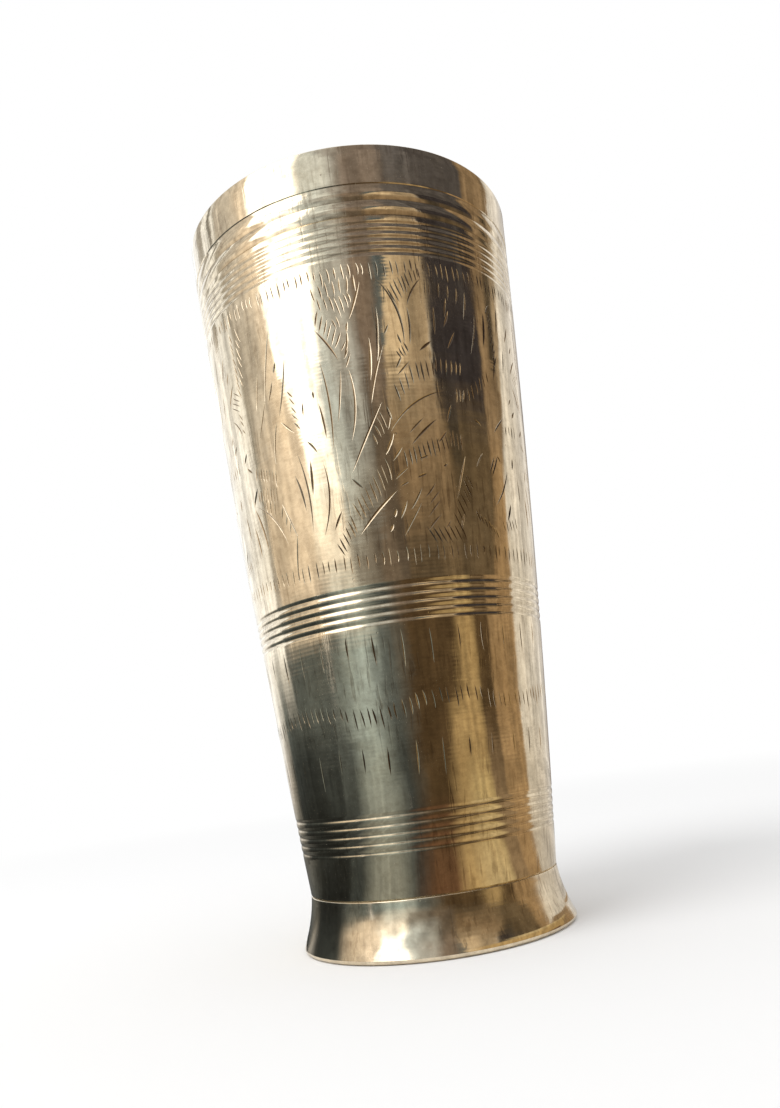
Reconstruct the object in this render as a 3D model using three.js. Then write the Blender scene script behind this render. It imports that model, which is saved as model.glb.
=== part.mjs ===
// A tall bronze tumbler: a turned, gently swelling wall with ring bands, on a flared hollow foot.
// Millimetres, +Z up. The origin is the middle of the circle that the foot stands on.
import * as THREE from 'three';

// Overall sizes
const HEIGHT = 170;              // standing face of the foot to the rim
const RIM_RADIUS = 41.4;         // outside of the wall at the rim
const NECK_RADIUS = 27.45;       // outside of the wall where it meets the foot
const FOOT_RADIUS = 30;          // outside of the foot at its widest
const WALL_THICKNESS = 1.2;
const WALL_BULGE = 1.05;         // how far the wall swells past a straight taper at mid height
const RIM_ROUNDING = 0.25;       // radius that breaks both corners of the rim

// Foot
const FOOT_HEIGHT = 11.15;       // standing face to the shoulder that carries the wall
const FOOT_THICKNESS = 1.4;
const FOOT_EDGE = 0.9;           // radius of the rounded lower edge
const FOOT_LAND = 1.7;           // width of the flat ring that the tumbler stands on
const FLARE_START = 0.3;         // how far the flare has come out at half its height
const SPIGOT_DEPTH = 3.7;        // how far the foot's collar goes up inside the wall
const SPIGOT_THICKNESS = 1.2;

// Joints of wall, foot and floor
const SEAM_BRAZE = 0.3;          // height of the braze ring between shoulder and wall
const SEAM_RECESS = 0.3;         // how far that ring stays back from the outside: the fine line at the neck
const BRAZE_GAP = 0.25;          // radial room for braze between two round faces
const SPIGOT_CLEARANCE = 0.9;    // spigot's upper end to the floor's underside
const LEDGE_BEARING = 0.65;      // how far the floor's edge lies on the wall's inner ledge
const FLOOR_THICKNESS = 1.4;
const FILLET_HEIGHT = 1.6;       // braze fillet up the wall, from the floor's upper face
const FILLET_WIDTH = 1.4;        // braze fillet along the floor

// Turned bands, from the bottom up and then from the rim down
const NECK_BAND = 8.05;          // plain wall from its lower end to the lower group of grooves
const LOWER_PANEL = 36;          // plain wall between the lower and the middle group
const RIM_BAND = 9.6;            // plain wall from the rim to the incised line
const LINE_WIDTH = 0.4;
const LINE_DEPTH = 0.15;
const ROLL_COUNT = 2;            // broad rounded mouldings under the line
const ROLL_HEIGHT = 3.6;
const ROLL_RISE = 0.3;           // crest of a moulding above the valleys beside it
const BEAD_HEIGHT = 1.4;         // narrow ridge between the mouldings and the upper group
const GROOVE_COUNT = 5;          // fine grooves in each of the three groups
const GROOVE_PITCH = 1.7;
const GROOVE_DEPTH = 0.2;

// Faceting of the turned surfaces
const FACETS = 48;               // sides of every turned surface
const PANEL_STEP = 24;           // longest straight stretch of the wall's curve
const ROUND_STEPS = 3;           // straight pieces in a rounded corner
const FLARE_STEPS = 6;           // straight pieces in the foot's flare

const BRONZE = { color: 0xd8c39a, roughness: 0.16, metalness: 1 };
const BRAZE_METAL = { color: 0xcdb483, roughness: 0.34, metalness: 1 };

// Heights and radii that follow from the sizes above
const wallBottom = FOOT_HEIGHT + SEAM_BRAZE;
const spigotTop = wallBottom + SPIGOT_DEPTH;
const ledgeTop = spigotTop + SPIGOT_CLEARANCE;
const floorTop = ledgeTop + FLOOR_THICKNESS;
const floorEdge = insideRadius(ledgeTop) - BRAZE_GAP;
const seatRadius = floorEdge - LEDGE_BEARING;
const spigotRadius = seatRadius - BRAZE_GAP;
const rimRounding = Math.min(RIM_ROUNDING, WALL_THICKNESS / 3);

// Outside of the plain wall at a height: a straight taper plus a parabola's swell
function wallRadius(z) {
  const t = (z - wallBottom) / (HEIGHT - wallBottom);
  return THREE.MathUtils.lerp(NECK_RADIUS, RIM_RADIUS, t) + WALL_BULGE * 4 * t * (1 - t);
}

function insideRadius(z) {
  return wallRadius(z) - WALL_THICKNESS;
}

function point(radius, z) {
  return new THREE.Vector2(radius, z);
}

// Points between two heights, ends left out, close enough together to follow the wall's curve
function between(low, high, radiusAt) {
  const count = Math.max(1, Math.ceil((high - low) / PANEL_STEP));
  const points = [];
  for (let i = 1; i < count; i++) {
    const z = low + (high - low) * i / count;
    points.push(point(radiusAt(z), z));
  }
  return points;
}

// A rounded corner about a centre, from one angle to another, both ends included
function corner(radius, z, rounding, from, to) {
  const points = [];
  for (let i = 0; i <= ROUND_STEPS; i++) {
    const angle = THREE.MathUtils.degToRad(from + (to - from) * i / ROUND_STEPS);
    points.push(point(radius + rounding * Math.cos(angle), z + rounding * Math.sin(angle)));
  }
  return points;
}

// One group of fine grooves, upwards from its lowest lip: lips on the wall, valleys cut into it
function grooves(bottom) {
  const points = [point(wallRadius(bottom), bottom)];
  for (let i = 0; i < GROOVE_COUNT; i++) {
    const valley = bottom + (i + 0.5) * GROOVE_PITCH;
    const lip = bottom + (i + 1) * GROOVE_PITCH;
    points.push(point(wallRadius(valley) - GROOVE_DEPTH, valley));
    points.push(point(wallRadius(lip), lip));
  }
  return points;
}

// A rounded moulding, upwards from the valley under it: the crest lies on the wall
function moulding(bottom) {
  const shares = [0, 0.25, 0.5, 0.75];
  return shares.map((share) => {
    const z = bottom + share * ROLL_HEIGHT;
    return point(wallRadius(z) - ROLL_RISE * (1 - Math.sin(Math.PI * share)), z);
  });
}

// The whole outside of the wall, from its lower end to the rim's outer corner
function wallOutside() {
  const groupHeight = GROOVE_COUNT * GROOVE_PITCH;
  const lowerGroup = wallBottom + NECK_BAND;
  const middleGroup = lowerGroup + groupHeight + LOWER_PANEL;
  const line = HEIGHT - RIM_BAND;
  const rolls = line - LINE_WIDTH / 2 - ROLL_COUNT * ROLL_HEIGHT;
  const bead = rolls - BEAD_HEIGHT / 2;
  const upperGroup = rolls - BEAD_HEIGHT - groupHeight;
  const points = [point(NECK_RADIUS, wallBottom)];
  points.push(...between(wallBottom, lowerGroup, wallRadius), ...grooves(lowerGroup));
  points.push(...between(lowerGroup + groupHeight, middleGroup, wallRadius), ...grooves(middleGroup));
  points.push(...between(middleGroup + groupHeight, upperGroup, wallRadius), ...grooves(upperGroup));
  points.push(point(wallRadius(bead), bead));
  for (let i = 0; i < ROLL_COUNT; i++) {
    points.push(...moulding(rolls + i * ROLL_HEIGHT));
  }
  points.push(point(wallRadius(line) - LINE_DEPTH, line));
  points.push(point(wallRadius(line + LINE_WIDTH / 2), line + LINE_WIDTH / 2));
  points.push(...corner(RIM_RADIUS - rimRounding, HEIGHT - rimRounding, rimRounding, 0, 90));
  return points;
}

// The inside of the wall, from the rim down to the ledge, then the bore that takes the spigot
function wallInside() {
  const rimInside = insideRadius(HEIGHT) + rimRounding;
  return [
    ...corner(rimInside, HEIGHT - rimRounding, rimRounding, 90, 180),
    ...between(ledgeTop, HEIGHT - rimRounding, insideRadius).reverse(),
    point(insideRadius(ledgeTop), ledgeTop),
    point(seatRadius, ledgeTop),
    point(seatRadius, wallBottom),
  ];
}

// The foot's hollow curve from the shoulder out to the lower edge, or one inside it by an offset
function flare(offset) {
  const top = point(NECK_RADIUS - offset, FOOT_HEIGHT);
  const bend = point(NECK_RADIUS + FLARE_START - offset, (FOOT_HEIGHT + FOOT_EDGE) / 2);
  const bottom = point(FOOT_RADIUS - offset, FOOT_EDGE);
  return new THREE.QuadraticBezierCurve(top, bend, bottom).getPoints(FLARE_STEPS);
}

// The foot: standing ring, rounded edge, flare, shoulder, spigot, and the hollow underneath
function footProfile() {
  const landOuter = FOOT_RADIUS - FOOT_EDGE;
  const landInner = landOuter - FOOT_LAND;
  const spigotInside = spigotRadius - SPIGOT_THICKNESS;
  const underside = flare(FOOT_THICKNESS).slice(1);
  return [
    point(landInner, 0),
    ...corner(landOuter, FOOT_EDGE, FOOT_EDGE, -90, 0).slice(0, -1),
    ...flare(0).reverse(),
    point(spigotRadius, FOOT_HEIGHT),
    point(spigotRadius, spigotTop),
    point(spigotInside, spigotTop),
    point(spigotInside, FOOT_HEIGHT - SPIGOT_THICKNESS),
    ...underside.filter((p) => p.x < landInner),
  ];
}

function floorProfile() {
  return [point(0, ledgeTop), point(floorEdge, ledgeTop), point(floorEdge, floorTop), point(0, floorTop)];
}

// The braze ring in the seam: a flat washer round the spigot
function seamProfile() {
  const outer = NECK_RADIUS - SEAM_RECESS;
  return [
    point(seatRadius, FOOT_HEIGHT),
    point(outer, FOOT_HEIGHT),
    point(outer, wallBottom),
    point(seatRadius, wallBottom),
  ];
}

// The hollow braze fillet on the floor, which leaves the braze gap to the wall
function filletProfile() {
  const top = floorTop + FILLET_HEIGHT;
  const hollow = new THREE.QuadraticBezierCurve(
    point(insideRadius(top) - BRAZE_GAP, top),
    point(floorEdge, floorTop),
    point(floorEdge - FILLET_WIDTH, floorTop),
  );
  return [point(floorEdge, floorTop), ...hollow.getPoints(ROUND_STEPS)];
}

// Turns a profile into a named solid about +Z. A profile that misses the axis is closed on itself.
function turned(name, profile, finish) {
  const startsOnAxis = profile[0].x === 0;
  const outline = startsOnAxis ? profile : [...profile, profile[0]];
  const geometry = new THREE.LatheGeometry(outline, FACETS);
  geometry.rotateX(Math.PI / 2);
  const mesh = new THREE.Mesh(geometry, new THREE.MeshStandardMaterial(finish));
  mesh.name = name;
  return mesh;
}

const tumbler = new THREE.Group();
tumbler.name = 'tumbler';
tumbler.add(turned('body_wall', [...wallOutside(), ...wallInside()], BRONZE));
tumbler.add(turned('foot_ring', footProfile(), BRONZE));
tumbler.add(turned('floor_disc', floorProfile(), BRONZE));
tumbler.add(turned('foot_braze', seamProfile(), BRAZE_METAL));
tumbler.add(turned('floor_braze', filletProfile(), BRAZE_METAL));

export default tumbler;
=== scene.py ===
"""Looks of a tall bronze tumbler: a turned wall with ring bands and chased strokes, on a flared foot."""

import math
import random
from collections import defaultdict, namedtuple

import bpy
from bpy.props import FloatProperty, FloatVectorProperty, IntProperty, PointerProperty
from mathutils import Matrix, Vector
from mathutils.geometry import delaunay_2d_cdt


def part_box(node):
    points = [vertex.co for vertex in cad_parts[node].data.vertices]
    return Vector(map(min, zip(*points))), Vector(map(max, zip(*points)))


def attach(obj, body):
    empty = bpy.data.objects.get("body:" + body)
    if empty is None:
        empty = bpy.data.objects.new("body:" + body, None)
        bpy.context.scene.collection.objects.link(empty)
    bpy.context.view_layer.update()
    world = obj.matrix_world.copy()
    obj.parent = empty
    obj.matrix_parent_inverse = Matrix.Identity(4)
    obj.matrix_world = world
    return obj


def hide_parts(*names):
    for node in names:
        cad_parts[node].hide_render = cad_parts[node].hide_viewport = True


bl_info = {
    "name": "Bronze Tumbler",
    "version": (1, 0, 0),
    "blender": (4, 5, 0),
    "location": "3D View > Sidebar > Tumbler",
    "description": "Builds a turned and chased bronze tumbler around its construction frame",
    "category": "Add Mesh",
}

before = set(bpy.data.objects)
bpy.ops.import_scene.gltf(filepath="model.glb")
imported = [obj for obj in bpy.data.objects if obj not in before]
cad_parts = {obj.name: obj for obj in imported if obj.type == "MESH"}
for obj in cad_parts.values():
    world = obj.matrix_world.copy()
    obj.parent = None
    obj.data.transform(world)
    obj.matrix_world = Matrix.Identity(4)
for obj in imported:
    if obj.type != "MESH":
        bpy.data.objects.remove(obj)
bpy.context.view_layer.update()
BODY = "root"
MM = 0.001

WALL_LOW, WALL_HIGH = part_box("body_wall")
FOOT_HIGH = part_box("foot_ring")[1]
FLOOR_LOW, FLOOR_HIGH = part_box("floor_disc")
SEAM_LOW, SEAM_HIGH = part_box("foot_braze")
FILLET_LOW, FILLET_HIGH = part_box("floor_braze")

# Fineness of the turned surfaces
COLUMNS = 180
GROOVE_STEPS = 12
ROLL_STEPS = 14
BEAD_STEPS = 3
CORNER_STEPS = 6
CURVE_STEPS = 20
PLAIN_STEP = 2.4 * MM
INSIDE_STEP = 6 * MM

# Spans that meet at more than the crease keep a sharp edge, and corners within the weld are one
CREASE = math.radians(24)
WELD = 1e-6

# The braze line at the neck lies this far under the wall's outside
SEAM_SUNK = 0.3 * MM


def length(name, description, default):
    """A size in metres."""
    return FloatProperty(name=name, description=description, default=default, unit="LENGTH", precision=5)


def number(name, description, default, unit="NONE"):
    """A plain number, or one with a unit of its own."""
    return FloatProperty(name=name, description=description, default=default, unit=unit)


def whole(name, description, default):
    """A whole number from 1 up."""
    return IntProperty(name=name, description=description, default=default, min=1)


def share(name, description, default):
    """A part of one whole."""
    limits = {"min": 0, "max": 1, "subtype": "FACTOR"}
    return FloatProperty(name=name, description=description, default=default, **limits)


def angle(name, description, degrees):
    """An angle, given in degrees and kept in radians."""
    default = math.radians(degrees)
    return FloatProperty(name=name, description=description, default=default, unit="ROTATION")


def colour(name, description, default):
    """A linear colour."""
    limits = {"min": 0, "max": 1, "subtype": "COLOR"}
    return FloatVectorProperty(name=name, description=description, default=default, **limits)


class WallSizes(bpy.types.PropertyGroup):
    """Outline of the wall, foot and floor."""

    rim_radius: length("Rim radius", "Outside of the wall at the rim", WALL_HIGH.x)
    neck_radius: length("Neck radius", "Outside of the wall at the foot", SEAM_HIGH.x + SEAM_SUNK)
    bulge: length("Bulge", "Swell past a straight taper at mid height", 1.05 * MM)
    thickness: length("Thickness", "Wall thickness", 1.2 * MM)
    rim_rounding: length("Rim rounding", "Radius on both corners of the rim", 0.25 * MM)
    foot_thickness: length("Foot thickness", "Metal in the flare of the foot", 1.4 * MM)
    foot_edge: length("Foot edge", "Radius of the foot's lower edge", 0.9 * MM)
    foot_land: length("Foot land", "Width of the ring that the tumbler stands on", 1.7 * MM)
    shoulder_rounding: length("Shoulder rounding", "Radius on the foot's upper edge", 0.22 * MM)
    flare_start: length("Flare start", "How far the flare is out at half its height", 0.3 * MM)
    spigot_thickness: length("Spigot thickness", "Collar of the foot inside the wall", 1.2 * MM)
    joint_gap: length("Joint gap", "Room for braze between two round faces", 0.25 * MM)
    ledge_bearing: length("Ledge bearing", "How far the floor lies on the wall's ledge", 0.65 * MM)
    fillet_width: length("Fillet width", "Braze fillet along the floor", 1.4 * MM)


class BandSizes(bpy.types.PropertyGroup):
    """Turned bands on the wall, from the bottom up and from the rim down."""

    neck_band: length("Neck band", "Plain wall under the lower grooves", 8.05 * MM)
    lower_panel: length("Lower panel", "Plain wall between lower and middle grooves", 36 * MM)
    rim_band: length("Rim band", "Plain wall from the rim to the incised line", 9.6 * MM)
    line_width: length("Line width", "Incised line under the rim band", 0.4 * MM)
    line_depth: length("Line depth", "Depth of the incised line", 0.15 * MM)
    roll_count: whole("Rolls", "Broad mouldings under the line", 2)
    roll_height: length("Roll height", "Height of one moulding", 3.6 * MM)
    roll_rise: length("Roll rise", "Crest of a moulding over its valleys", 0.3 * MM)
    bead_height: length("Bead height", "Ridge between mouldings and upper grooves", 1.4 * MM)
    groove_count: whole("Grooves", "Fine grooves in a group", 5)
    groove_pitch: length("Groove pitch", "Height of one fine groove", 1.7 * MM)
    upper_depth: length("Upper depth", "Depth of the upper grooves", 0.13 * MM)
    middle_depth: length("Middle depth", "Depth of the middle grooves", 0.17 * MM)
    lower_depth: length("Lower depth", "Depth of the lower grooves", 0.12 * MM)
    upper_closeness: number("Upper closeness", "How narrow the upper grooves are", 2)
    middle_closeness: number("Middle closeness", "How narrow the middle grooves are", 3)
    lower_closeness: number("Lower closeness", "How narrow the lower grooves are", 4)


class ChasingSizes(bpy.types.PropertyGroup):
    """Strokes that are chased into the two plain panels."""

    repeats: whole("Repeats", "Times the leaf pattern goes round", 3)
    tick_width: length("Tick width", "Width of a short cut", 0.38 * MM)
    blade_width: length("Blade width", "Width of a long cut", 0.46 * MM)
    broad_width: length("Broad width", "Width of a bold cut", 0.64 * MM)
    steepness: number("Steepness", "Depth of a cut over half its width", 0.42)
    drift: share("Drift", "How unevenly the cuts are placed", 0.5)
    seed: whole("Seed", "Start of the drift", 7)


class BronzeFinish(bpy.types.PropertyGroup):
    """Colours and polish of the metal."""

    bronze: colour("Bronze", "Polished pale bronze", (0.82, 0.72, 0.555))
    # The inside's bronze, painted paler than the outside's: a painted glow for light that bounces about
    # inside the cup
    inside_lit_bronze: colour("Inside bronze", "Clean satin of the inside", (0.97, 0.91, 0.78))
    warm_bronze: colour("Warm bronze", "Where the polish is warmer", (0.82, 0.69, 0.49))
    recess: colour("Recess", "Brown left in cuts and grooves", (0.22, 0.15, 0.085))
    braze: colour("Braze", "Duller metal of the joints", (0.74, 0.60, 0.38))
    roughness: share("Roughness", "Outside polish", 0.055)
    foot_roughness: share("Foot roughness", "Softer polish of the foot", 0.095)
    inside_roughness: share("Inside roughness", "Satin of the inside", 0.4)
    braze_roughness: share("Braze roughness", "Wiped braze", 0.34)
    streak: share("Streak", "How far highlights draw out across the turning marks", 0.4)
    ripple_pitch: length("Ripple pitch", "Step of the turning ripple", 0.85 * MM)
    ripple: length("Ripple", "Height of the turning ripple", 0.0014 * MM)


class StudioSizes(bpy.types.PropertyGroup):
    """Camera, light and floor."""

    lens: number("Lens", "Focal length in mm on a 36 mm sensor", 27.62, unit="CAMERA")
    distance: length("Distance", "Camera to the tumbler's axis", 202.6 * MM)
    height: length("Height", "Camera over the floor", 37.1 * MM)
    tilt: angle("Tilt", "How far the camera looks up", 13.67)
    roll: angle("Roll", "How far the camera is turned about its view", -7.72)
    key_power: number("Key power", "Watts of the soft key lamp", 6, unit="POWER")
    fill: number("Fill", "Strength of the white room on the floor", 0.85)
    floor: colour("Floor", "Pale floor", (0.9, 0.9, 0.9))


# Shader building


class Value:
    """A shader socket that takes part in sums: each sum adds a Math node."""

    def __init__(self, shader, socket):
        self.shader = shader
        self.socket = socket

    def maths(self, operation, first, second):
        """A Math node of two values, each a socket or a number."""
        return self.shader.node("ShaderNodeMath", {"operation": operation}, {0: first, 1: second})

    def __add__(self, other):
        return self.maths("ADD", self, other)

    def __radd__(self, other):
        return self.maths("ADD", other, self)

    def __sub__(self, other):
        return self.maths("SUBTRACT", self, other)

    def __rsub__(self, other):
        return self.maths("SUBTRACT", other, self)

    def __mul__(self, other):
        return self.maths("MULTIPLY", self, other)

    def __rmul__(self, other):
        return self.maths("MULTIPLY", other, self)


class Shader:
    """The nodes of a material or of the world, all made by one method."""

    def __init__(self, owner):
        owner.use_nodes = True
        self.owner = owner
        self.tree = owner.node_tree
        self.tree.nodes.clear()

    def node(self, kind, settings=None, inputs=None, output=0):
        """Adds a node: its settings first, then its sockets' values or links. Gives one output."""
        made = self.tree.nodes.new(kind)
        for name, setting in (settings or {}).items():
            if name == "stops":
                self.set_stops(made.color_ramp, setting)
            else:
                setattr(made, name, setting)
        for name, value in (inputs or {}).items():
            if isinstance(value, Value):
                self.tree.links.new(value.socket, made.inputs[name])
            else:
                made.inputs[name].default_value = value
        return Value(self, made.outputs[output]) if made.outputs else None

    def set_stops(self, ramp, stops):
        """Gives a ramp its stops, each a place and a grey level."""
        while len(ramp.elements) > len(stops):
            ramp.elements.remove(ramp.elements[-1])
        while len(ramp.elements) < len(stops):
            ramp.elements.new(1)
        for element, (place, level) in zip(ramp.elements, stops):
            element.position = place
            element.color = (level, level, level, 1)

    def place(self):
        """Where a point lies on the object, in metres."""
        return self.node("ShaderNodeTexCoord", output="Object")

    def attribute(self, name, output="Fac"):
        """What the mesh itself says at a point."""
        return self.node("ShaderNodeAttribute", {"attribute_name": name}, output=output)

    def stretched(self, place, scale):
        """A place scaled along each axis."""
        return self.node("ShaderNodeVectorMath", {"operation": "MULTIPLY"}, {0: place, 1: scale})

    def distance(self, place):
        """How far a place is from the origin."""
        return self.node("ShaderNodeVectorMath", {"operation": "LENGTH"}, {0: place}, output="Value")

    def wave(self, phase):
        """A sine wave."""
        return self.node("ShaderNodeMath", {"operation": "SINE"}, {0: phase})

    def noise(self, place, scale, detail=2.0, roughness=0.5):
        """Soft noise about one half."""
        inputs = {"Vector": place, "Scale": scale, "Detail": detail, "Roughness": roughness}
        return self.node("ShaderNodeTexNoise", {"noise_dimensions": "3D"}, inputs)

    def grain(self, place, across, up, detail=2.0, roughness=0.5):
        """Noise that is drawn out, with one fineness across the piece and another up it."""
        return self.noise(self.stretched(place, (across, across, up)), 1.0, detail, roughness)

    def ramp(self, value, *stops):
        """A value led through grey stops."""
        return self.node("ShaderNodeValToRGB", {"stops": stops}, {"Fac": value})

    def mix(self, part, first, second):
        """One colour led into another."""
        settings = {"data_type": "RGBA", "blend_type": "MIX"}
        return self.node("ShaderNodeMix", settings, {0: part, 6: first, 7: second}, output=2)

    def bump(self, height_mm):
        """A normal from heights in millimetres."""
        return self.node("ShaderNodeBump", None, {"Strength": 1.0, "Distance": MM, "Height": height_mm})

    def finish(self, surface):
        """Ends the nodes in a surface shader."""
        in_world = isinstance(self.owner, bpy.types.World)
        kind = "ShaderNodeOutputWorld" if in_world else "ShaderNodeOutputMaterial"
        self.node(kind, None, {"Surface": surface})
        return self.owner

    def metal(self, base, rough, height_mm, streak=0.0):
        """Ends the nodes in bare metal: colour, polish, relief, and how far it draws out highlights."""
        inputs = {
            "Base Color": base,
            "Metallic": 1.0,
            "Roughness": rough,
            "Anisotropic": streak,
            "Normal": self.bump(height_mm),
        }
        return self.finish(self.node("ShaderNodeBsdfPrincipled", None, inputs))


def opaque(rgb):
    """A colour with full alpha."""
    return (*rgb, 1.0)


# How far the turning and facing marks stray from true rings, in radians of their wave, and the facing's step
RIPPLE_WANDER = 9.0
FACING_WANDER = 3.0
FACING_PITCH = 0.7 * MM

# Relief of the polished outside, in mm
BROAD_HEIGHT = 0.15
LUMP_HEIGHT = 0.09
BAND_HEIGHT = 0.05
HAIR_HEIGHT = 0.002
STREAK_HEIGHT = 0.002
PIT_DEPTH = 0.02
SCRATCH_DEPTH = 0.006

# Relief of the inside, the floor and the braze, in mm, and the inside's ripple over the outside's
SATIN_HEIGHT = 0.02
FACING_HEIGHT = 0.012
BRAZE_HEIGHT = 0.05
INSIDE_RIPPLE = 6.0

# How far scratches darken the polish, and what smears, haze and soil add to its roughness
SCRATCH_SHADE = 0.32
SMEAR_ROUGHNESS = 0.07
HAZE_ROUGHNESS = 0.10
SOIL_ROUGHNESS = 0.12

# How far marks and turning lines darken the inside and specks the braze, and what each adds to roughness
MARK_SHADE = 0.5
LINE_SHADE = 0.6
SPECK_SHADE = 0.6
MARK_ROUGHNESS = 0.08
LINE_ROUGHNESS = 0.06
FACED_ROUGHNESS = 0.1
SPECK_ROUGHNESS = 0.2


def turning_ripple(shader, place, finish):
    """The fine waves that the turning tool leaves round the wall, stronger in some places."""
    height = shader.node("ShaderNodeSeparateXYZ", None, {"Vector": place}, output="Z")
    wander = shader.noise(place, 45.0, detail=1.0)
    phase = height * (math.tau / finish.ripple_pitch) + wander * RIPPLE_WANDER
    uneven = shader.ramp(shader.grain(place, 30, 90), (0.38, 0.05), (0.7, 1.0))
    return shader.wave(phase) * uneven * (finish.ripple / MM)


def polished_bronze(name, finish, roughness):
    """Outside: bright polish drawn out by turning marks, brown in every recess, with faint smears."""
    shader = Shader(bpy.data.materials.new(name))
    place = shader.place()
    smears = shader.grain(place, 70, 45, detail=6.0, roughness=0.65)
    specks = shader.noise(place, 130.0, detail=8.0, roughness=0.7)
    blots = shader.noise(place, 650.0, detail=4.0, roughness=0.65)
    clouds = shader.noise(place, 40.0, detail=6.0, roughness=0.6)
    scratches = shader.grain(place, 1300, 85, detail=1.0)
    pits = shader.node("ShaderNodeTexVoronoi", None, {"Vector": place, "Scale": 170.0}, output="Distance")

    warm = shader.ramp(smears, (0.3, 0.0), (0.75, 1.0))
    smeared = shader.ramp(smears, (0.4, 0.0), (0.75, 1.0))
    soiled = shader.ramp(shader.attribute("recess"), (0.15, 0.0), (0.55, 0.9))
    tarnished = shader.ramp(specks, (0.45, 0.0), (0.75, 0.26))
    mottled = shader.ramp(blots, (0.4, 0.0), (0.68, 0.26))
    hazy = shader.ramp(clouds, (0.52, 0.0), (0.72, 1.0))
    worn = shader.ramp(shader.noise(place, 38.0), (0.42, 0.0), (0.62, 1.0))
    scratched = shader.ramp(scratches, (0.57, 0.0), (0.67, 1.0)) * worn
    pitted = shader.ramp(pits, (0.0, 1.0), (0.045, 0.0))

    brown = opaque(finish.recess)
    tone = shader.mix(warm, opaque(finish.bronze), opaque(finish.warm_bronze))
    dulled = shader.mix(tarnished + mottled + scratched * SCRATCH_SHADE, tone, brown)
    base = shader.mix(soiled, dulled, brown)
    rough = smeared * SMEAR_ROUGHNESS + hazy * HAZE_ROUGHNESS + soiled * SOIL_ROUGHNESS + roughness

    relief = turning_ripple(shader, place, finish)
    relief = relief + shader.noise(place, 32.0, detail=1.0) * BROAD_HEIGHT
    relief = relief + shader.noise(place, 85.0) * LUMP_HEIGHT
    relief = relief + shader.grain(place, 20, 260, detail=1.0) * BAND_HEIGHT
    relief = relief + shader.grain(place, 14, 2600, detail=3.0) * HAIR_HEIGHT
    relief = relief + shader.grain(place, 900, 18) * STREAK_HEIGHT
    relief = relief - pitted * PIT_DEPTH - scratched * SCRATCH_DEPTH
    return shader.metal(base, rough, relief, finish.streak)


def satin_bronze_painted_glow(finish):
    """Inside: satin with close turning lines and a few water marks, on bronze painted paler as a painted
    glow of light bouncing inside.
    """
    shader = Shader(bpy.data.materials.new("satin_bronze_painted_glow"))
    place = shader.place()
    lines = shader.grain(place, 6, 480, detail=5.0, roughness=0.7)
    marks = shader.noise(place, 60.0, detail=4.0, roughness=0.6)
    marked = shader.ramp(marks, (0.4, 0.0), (0.75, 1.0))
    turned = shader.ramp(lines, (0.4, 0.0), (0.66, 1.0))
    shade = marked * MARK_SHADE + turned * LINE_SHADE
    # Painted glow: the paler inside bronze, darkened back towards the outside's bronze by marks and lines
    base = shader.mix(shade, opaque(finish.inside_lit_bronze), opaque(finish.bronze))
    mean_roughness = finish.inside_roughness - LINE_ROUGHNESS / 2
    rough = marked * MARK_ROUGHNESS + lines * LINE_ROUGHNESS + mean_roughness
    relief = lines * SATIN_HEIGHT + marks * SATIN_HEIGHT
    relief = relief + turning_ripple(shader, place, finish) * INSIDE_RIPPLE
    return shader.metal(base, rough, relief, finish.streak)


def faced_bronze_painted_glow(finish):
    """Floor: rings left by the facing tool, on the inside's bronze that is painted paler as a painted glow
    of light bouncing inside.
    """
    shader = Shader(bpy.data.materials.new("faced_bronze_painted_glow"))
    place = shader.place()
    radius = shader.distance(shader.stretched(place, (1, 1, 0)))
    wander = shader.noise(place, 70.0)
    rings = shader.wave(radius * (math.tau / FACING_PITCH) + wander * FACING_WANDER)
    marks = shader.noise(place, 90.0, detail=4.0, roughness=0.6)
    marked = shader.ramp(marks, (0.4, 0.0), (0.75, 1.0))
    # Painted glow: the paler inside bronze, darker where marked
    base = shader.mix(marked, opaque(finish.inside_lit_bronze), opaque(finish.bronze))
    rough = marked * FACED_ROUGHNESS + finish.inside_roughness
    return shader.metal(base, rough, rings * FACING_HEIGHT + marks * SATIN_HEIGHT, finish.streak)


def wiped_braze(finish):
    """Braze in the joints: duller, a little lumpy and speckled."""
    shader = Shader(bpy.data.materials.new("wiped_braze"))
    lumps = shader.noise(shader.place(), 420.0, detail=3.0, roughness=0.6)
    speckled = shader.ramp(lumps, (0.42, 0.0), (0.7, 1.0))
    base = shader.mix(speckled * SPECK_SHADE, opaque(finish.braze), opaque(finish.recess))
    rough = speckled * SPECK_ROUGHNESS + finish.braze_roughness
    return shader.metal(base, rough, lumps * BRAZE_HEIGHT)


# Turned surfaces

# Numbers of the two finishes that a piece can have
OUTSIDE, INSIDE = 0, 1

# A ring of a turned surface, with how much brown lies in it
Ring = namedtuple("Ring", "radius height soil", defaults=(0.0,))


def turned_to(column):
    """Angle of a column of corners, from the side that faces the camera, with the seam at the back."""
    return math.tau * column / COLUMNS - math.pi


def around(radius, height, turn):
    """A point at an angle from the side that faces the camera."""
    return Vector((radius * math.sin(turn), -radius * math.cos(turn), height))


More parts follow.
